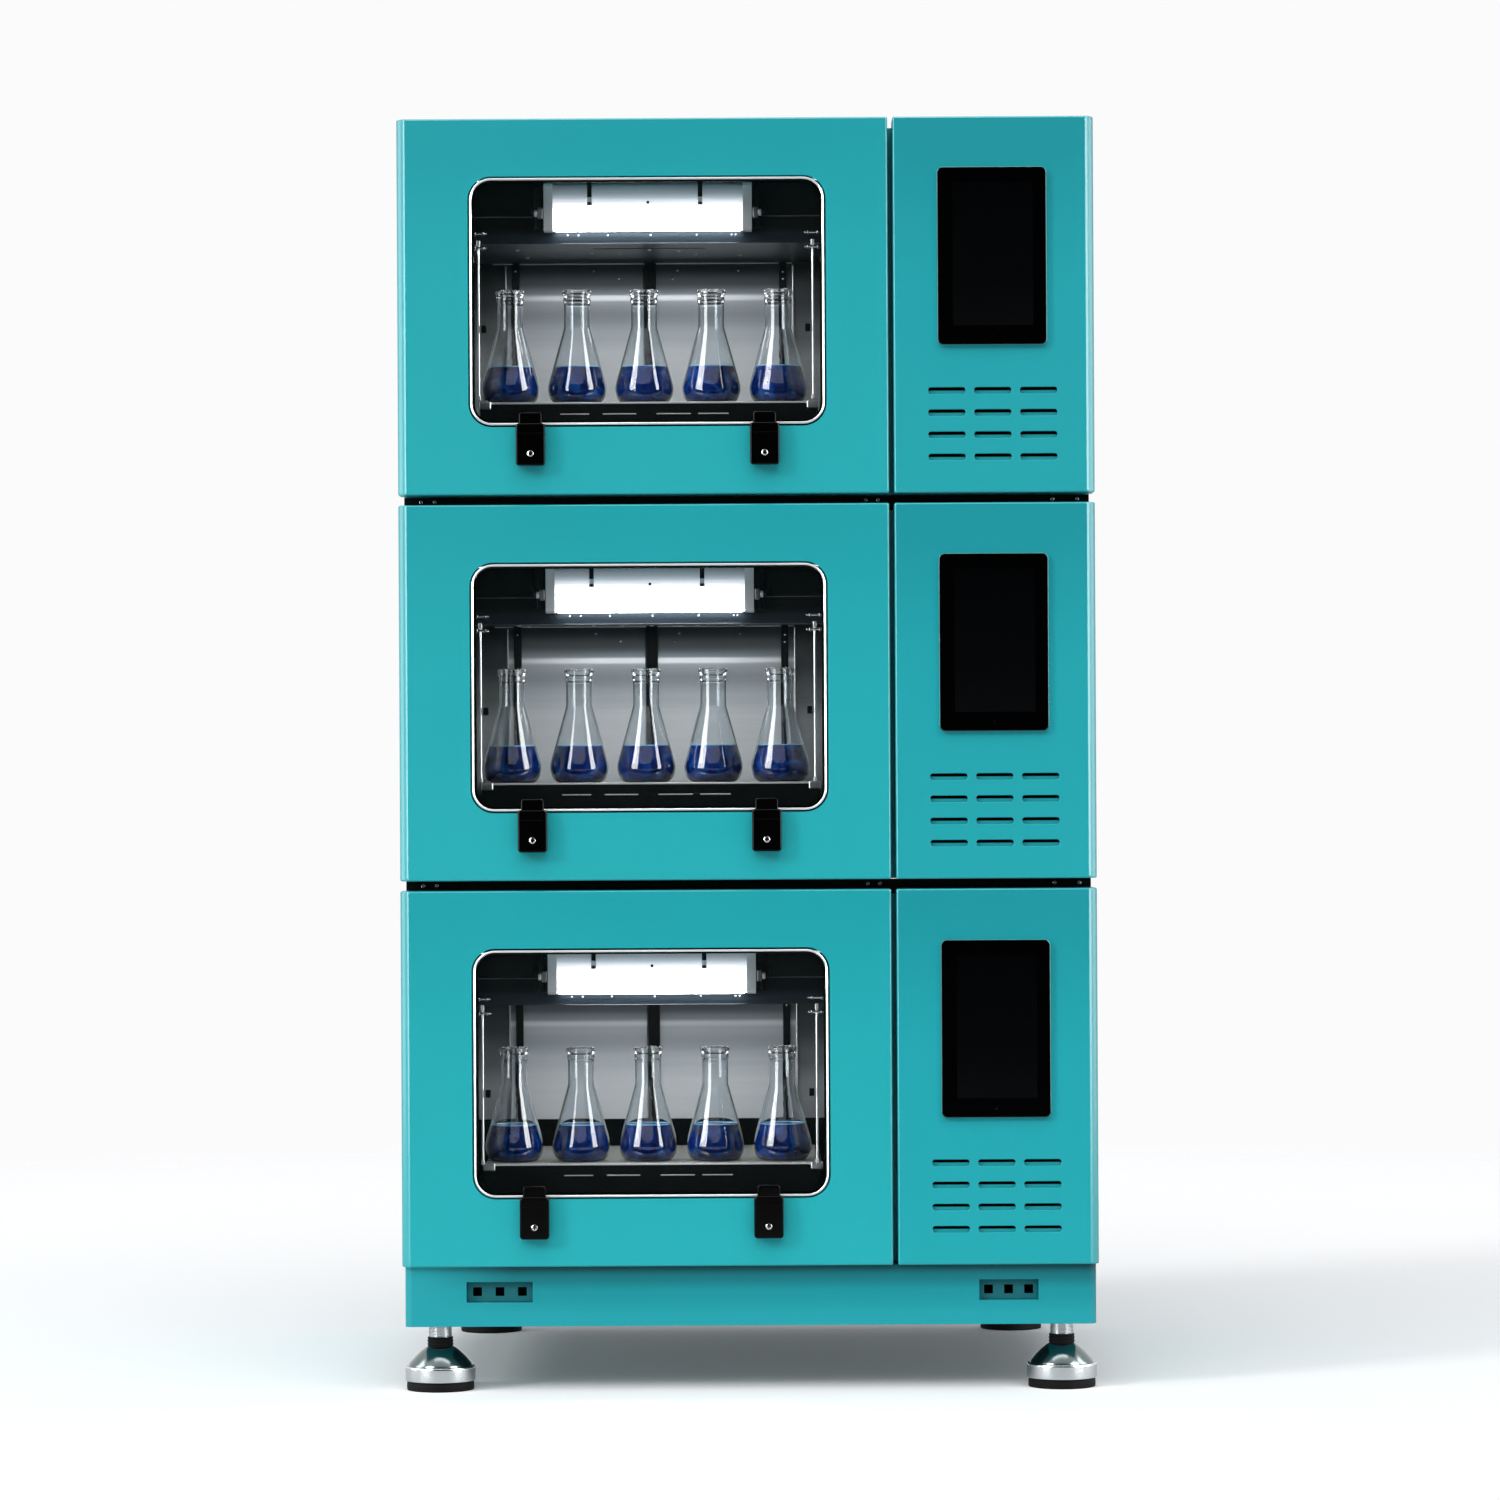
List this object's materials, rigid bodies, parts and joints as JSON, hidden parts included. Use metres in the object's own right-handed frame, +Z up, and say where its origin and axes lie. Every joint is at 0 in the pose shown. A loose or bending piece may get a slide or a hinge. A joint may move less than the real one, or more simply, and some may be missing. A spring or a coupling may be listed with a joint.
{
  "type": "stacked incubator shaker",
  "caption": "floor-standing stack of teal incubated orbital shakers, each with a windowed door, latches, a control fascia and a shaking platform, on a plinth with levelling feet",
  "frame": {"origin": "on the floor, in the middle of the stack's footprint", "axes": "+X to the right seen from the front, +Y to the back, +Z up; the doors face -Y"},
  "size_m": [0.907, 0.8586, 1.6562],
  "materials": {
    "teal_enamel": "gloss teal powder coat",
    "door_enamel": "teal enamel over a foam-filled skin",
    "dark_steel": "satin, dark",
    "polished_steel": "polished",
    "black_plastic": "gloss black",
    "black_rubber": "matte",
    "screen_glass": "gloss black",
    "window_glass": "clear",
    "lamp_diffuser": "opal white",
    "cast_aluminium": "cast",
    "motor_grey": "semi-matte grey",
    "black_enamel": "black coated"
  },
  "bodies": {
    "stack": {"lower_cabinet_shell": "teal_enamel", "lower_chamber_liner": "dark_steel", "lower_ceiling_plenum": "dark_steel", "lower_chamber_lamp": "lamp_diffuser", "lower_control_fascia": "teal_enamel", "lower_touch_screen": "screen_glass", "lower_drive_base": "cast_aluminium", "lower_drive_motor": "motor_grey", "middle_cabinet_shell": "teal_enamel", "middle_chamber_liner": "dark_steel", "middle_ceiling_plenum": "dark_steel", "middle_chamber_lamp": "lamp_diffuser", "middle_control_fascia": "teal_enamel", "middle_touch_screen": "screen_glass", "middle_drive_base": "cast_aluminium", "middle_drive_motor": "motor_grey", "upper_cabinet_shell": "teal_enamel", "upper_chamber_liner": "dark_steel", "upper_ceiling_plenum": "dark_steel", "upper_chamber_lamp": "lamp_diffuser", "upper_control_fascia": "teal_enamel", "upper_touch_screen": "screen_glass", "upper_drive_base": "cast_aluminium", "upper_drive_motor": "motor_grey", "plinth": "teal_enamel"},
    "lower_door": {"lower_door_panel": "door_enamel", "lower_door_gasket": "black_rubber"},
    "lower_window": {"lower_window_frame": "polished_steel", "lower_window_glass": "window_glass"},
    "lower_latch_left": {"lower_latch_lever_left": "black_plastic"},
    "lower_latch_right": {"lower_latch_lever_right": "black_plastic"},
    "lower_crank": {"lower_drive_crank": "cast_aluminium"},
    "lower_idler": {"lower_idler_crank": "cast_aluminium"},
    "lower_platform": {"lower_shaking_platform": "black_enamel"},
    "lower_fan": {"lower_circulation_fan": "motor_grey"},
    "middle_door": {"middle_door_panel": "door_enamel", "middle_door_gasket": "black_rubber"},
    "middle_window": {"middle_window_frame": "polished_steel", "middle_window_glass": "window_glass"},
    "middle_latch_left": {"middle_latch_lever_left": "black_plastic"},
    "middle_latch_right": {"middle_latch_lever_right": "black_plastic"},
    "middle_crank": {"middle_drive_crank": "cast_aluminium"},
    "middle_idler": {"middle_idler_crank": "cast_aluminium"},
    "middle_platform": {"middle_shaking_platform": "black_enamel"},
    "middle_fan": {"middle_circulation_fan": "motor_grey"},
    "upper_door": {"upper_door_panel": "door_enamel", "upper_door_gasket": "black_rubber"},
    "upper_window": {"upper_window_frame": "polished_steel", "upper_window_glass": "window_glass"},
    "upper_latch_left": {"upper_latch_lever_left": "black_plastic"},
    "upper_latch_right": {"upper_latch_lever_right": "black_plastic"},
    "upper_crank": {"upper_drive_crank": "cast_aluminium"},
    "upper_idler": {"upper_idler_crank": "cast_aluminium"},
    "upper_platform": {"upper_shaking_platform": "black_enamel"},
    "upper_fan": {"upper_circulation_fan": "motor_grey"},
    "front_left_foot": {"front_left_foot": "polished_steel"},
    "front_right_foot": {"front_right_foot": "polished_steel"},
    "rear_left_foot": {"rear_left_foot": "polished_steel"},
    "rear_right_foot": {"rear_right_foot": "polished_steel"}
  },
  "joints": [
    {"name": "lower_door_swing", "type": "hinge", "parent": "stack", "child": "lower_door", "pos_m": [-0.4415, -0.38065, 0.4077], "axis": [0, 0, -1], "range_deg": [0, 110]},
    {"name": "lower_window_lift", "type": "hinge", "parent": "lower_door", "child": "lower_window", "pos_m": [-0.128, -0.40745, 0.5715], "axis": [-1, 0, 0], "range_deg": [0, 42]},
    {"name": "lower_latch_left_lift", "type": "hinge", "parent": "lower_window", "child": "lower_latch_left", "pos_m": [-0.28, -0.41865, 0.2577], "axis": [-1, 0, 0], "range_deg": [0, 40]},
    {"name": "lower_latch_right_lift", "type": "hinge", "parent": "lower_window", "child": "lower_latch_right", "pos_m": [0.024, -0.41865, 0.2577], "axis": [-1, 0, 0], "range_deg": [0, 40]},
    {"name": "lower_crank_spin", "type": "hinge", "parent": "stack", "child": "lower_crank", "pos_m": [-0.128, -0.15195, 0.2462], "axis": [0, 0, 1], "continuous": true},
    {"name": "lower_platform_orbit", "type": "hinge", "parent": "lower_crank", "child": "lower_platform", "pos_m": [-0.128, -0.13895, 0.2462], "axis": [0, 0, 1], "continuous": true},
    {"name": "lower_idler_spin", "type": "hinge", "parent": "stack", "child": "lower_idler", "pos_m": [0.02186, -0.15195, 0.2462], "axis": [0, 0, 1], "continuous": true},
    {"name": "lower_fan_spin", "type": "hinge", "parent": "stack", "child": "lower_fan", "pos_m": [-0.128, -0.15435, 0.5889], "axis": [0, 0, 1], "continuous": true},
    {"name": "middle_door_swing", "type": "hinge", "parent": "stack", "child": "middle_door", "pos_m": [-0.4415, -0.38065, 0.9097], "axis": [0, 0, -1], "range_deg": [0, 110]},
    {"name": "middle_window_lift", "type": "hinge", "parent": "middle_door", "child": "middle_window", "pos_m": [-0.128, -0.40745, 1.0735], "axis": [-1, 0, 0], "range_deg": [0, 42]},
    {"name": "middle_latch_left_lift", "type": "hinge", "parent": "middle_window", "child": "middle_latch_left", "pos_m": [-0.28, -0.41865, 0.7597], "axis": [-1, 0, 0], "range_deg": [0, 40]},
    {"name": "middle_latch_right_lift", "type": "hinge", "parent": "middle_window", "child": "middle_latch_right", "pos_m": [0.024, -0.41865, 0.7597], "axis": [-1, 0, 0], "range_deg": [0, 40]},
    {"name": "middle_crank_spin", "type": "hinge", "parent": "stack", "child": "middle_crank", "pos_m": [-0.128, -0.15195, 0.7482], "axis": [0, 0, 1], "continuous": true},
    {"name": "middle_platform_orbit", "type": "hinge", "parent": "middle_crank", "child": "middle_platform", "pos_m": [-0.128, -0.13895, 0.7482], "axis": [0, 0, 1], "continuous": true},
    {"name": "middle_idler_spin", "type": "hinge", "parent": "stack", "child": "middle_idler", "pos_m": [0.02186, -0.15195, 0.7482], "axis": [0, 0, 1], "continuous": true},
    {"name": "middle_fan_spin", "type": "hinge", "parent": "stack", "child": "middle_fan", "pos_m": [-0.128, -0.15435, 1.0909], "axis": [0, 0, 1], "continuous": true},
    {"name": "upper_door_swing", "type": "hinge", "parent": "stack", "child": "upper_door", "pos_m": [-0.4415, -0.38065, 1.4117], "axis": [0, 0, -1], "range_deg": [0, 110]},
    {"name": "upper_window_lift", "type": "hinge", "parent": "upper_door", "child": "upper_window", "pos_m": [-0.128, -0.40745, 1.5755], "axis": [-1, 0, 0], "range_deg": [0, 42]},
    {"name": "upper_latch_left_lift", "type": "hinge", "parent": "upper_window", "child": "upper_latch_left", "pos_m": [-0.28, -0.41865, 1.2617], "axis": [-1, 0, 0], "range_deg": [0, 40]},
    {"name": "upper_latch_right_lift", "type": "hinge", "parent": "upper_window", "child": "upper_latch_right", "pos_m": [0.024, -0.41865, 1.2617], "axis": [-1, 0, 0], "range_deg": [0, 40]},
    {"name": "upper_crank_spin", "type": "hinge", "parent": "stack", "child": "upper_crank", "pos_m": [-0.128, -0.15195, 1.2502], "axis": [0, 0, 1], "continuous": true},
    {"name": "upper_platform_orbit", "type": "hinge", "parent": "upper_crank", "child": "upper_platform", "pos_m": [-0.128, -0.13895, 1.2502], "axis": [0, 0, 1], "continuous": true},
    {"name": "upper_idler_spin", "type": "hinge", "parent": "stack", "child": "upper_idler", "pos_m": [0.02186, -0.15195, 1.2502], "axis": [0, 0, 1], "continuous": true},
    {"name": "upper_fan_spin", "type": "hinge", "parent": "stack", "child": "upper_fan", "pos_m": [-0.128, -0.15435, 1.5929], "axis": [0, 0, 1], "continuous": true},
    {"name": "front_left_foot_height", "type": "slide", "parent": "stack", "child": "front_left_foot", "axis": [0, 0, -1], "range_m": [0, 0.02]},
    {"name": "front_right_foot_height", "type": "slide", "parent": "stack", "child": "front_right_foot", "axis": [0, 0, -1], "range_m": [0, 0.02]},
    {"name": "rear_left_foot_height", "type": "slide", "parent": "stack", "child": "rear_left_foot", "axis": [0, 0, -1], "range_m": [0, 0.02]},
    {"name": "rear_right_foot_height", "type": "slide", "parent": "stack", "child": "rear_right_foot", "axis": [0, 0, -1], "range_m": [0, 0.02]}
  ],
  "couplings": [
    {"joint": "lower_platform_orbit", "follows": "lower_crank_spin", "ratio": -1},
    {"joint": "lower_idler_spin", "follows": "lower_crank_spin", "ratio": 1},
    {"joint": "middle_platform_orbit", "follows": "middle_crank_spin", "ratio": -1},
    {"joint": "middle_idler_spin", "follows": "middle_crank_spin", "ratio": 1},
    {"joint": "upper_platform_orbit", "follows": "upper_crank_spin", "ratio": -1},
    {"joint": "upper_idler_spin", "follows": "upper_crank_spin", "ratio": 1}
  ]
}
